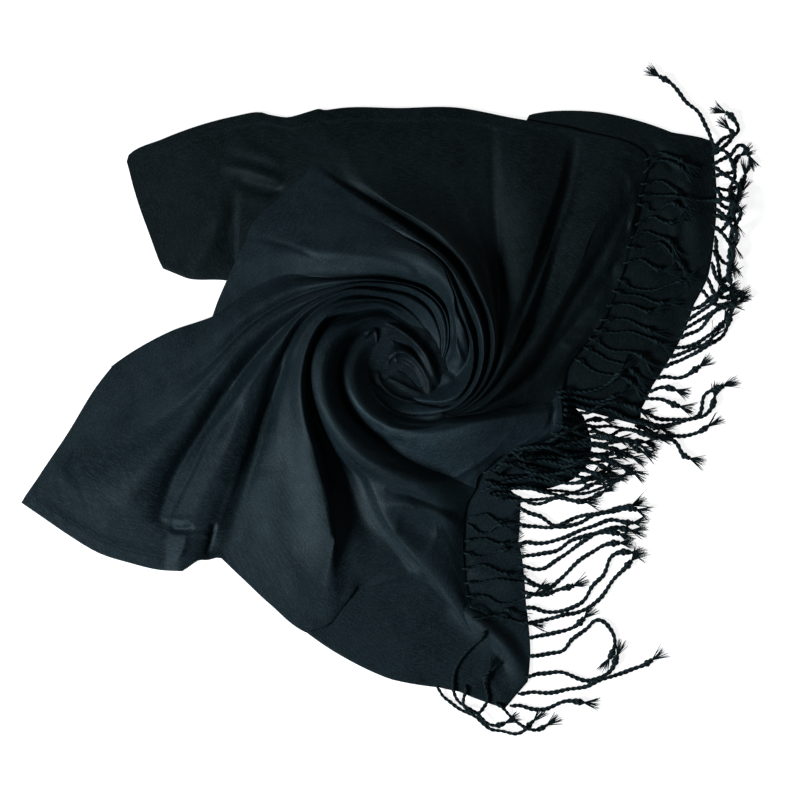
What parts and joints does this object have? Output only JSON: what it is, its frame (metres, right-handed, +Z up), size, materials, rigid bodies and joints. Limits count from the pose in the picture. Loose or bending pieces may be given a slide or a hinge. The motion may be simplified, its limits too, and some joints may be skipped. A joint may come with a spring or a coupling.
{
  "type": "stole",
  "caption": "Long fringed cloth stole, folded in layers and laid flat with its middle swirled into a low rosette; worn round the neck or shoulders.",
  "frame": {"origin": "on the surface that the cloth rests on, below the eye of the swirl", "axes": "+Z up; +X from the folded edges towards the fringed ends; +Y towards the plain top edge"},
  "size_m": [0.5274, 0.4812, 0.034],
  "materials": {
    "cloth": "satin-faced fine twill, blue-black",
    "fringe": "twisted yarn, matt blue-black"
  },
  "bodies": {
    "root": {"nose_flap": "cloth", "top_panel": "cloth", "right_fan": "cloth", "tongue": "cloth", "lower_fan": "cloth", "front_panel": "cloth", "left_fan": "cloth", "back_panel": "cloth", "under_end_upper": "cloth", "under_end_lower": "cloth", "folded_layers": "cloth", "eye_tuft": "cloth", "fringe_upper_outer": "fringe", "fringe_right": "fringe", "fringe_upper_inner": "fringe", "fringe_tongue": "fringe", "fringe_tongue_lower": "fringe", "fringe_lower_outer": "fringe", "fringe_lower_inner": "fringe", "fringe_bottom": "fringe"}
  },
  "joints": []
}
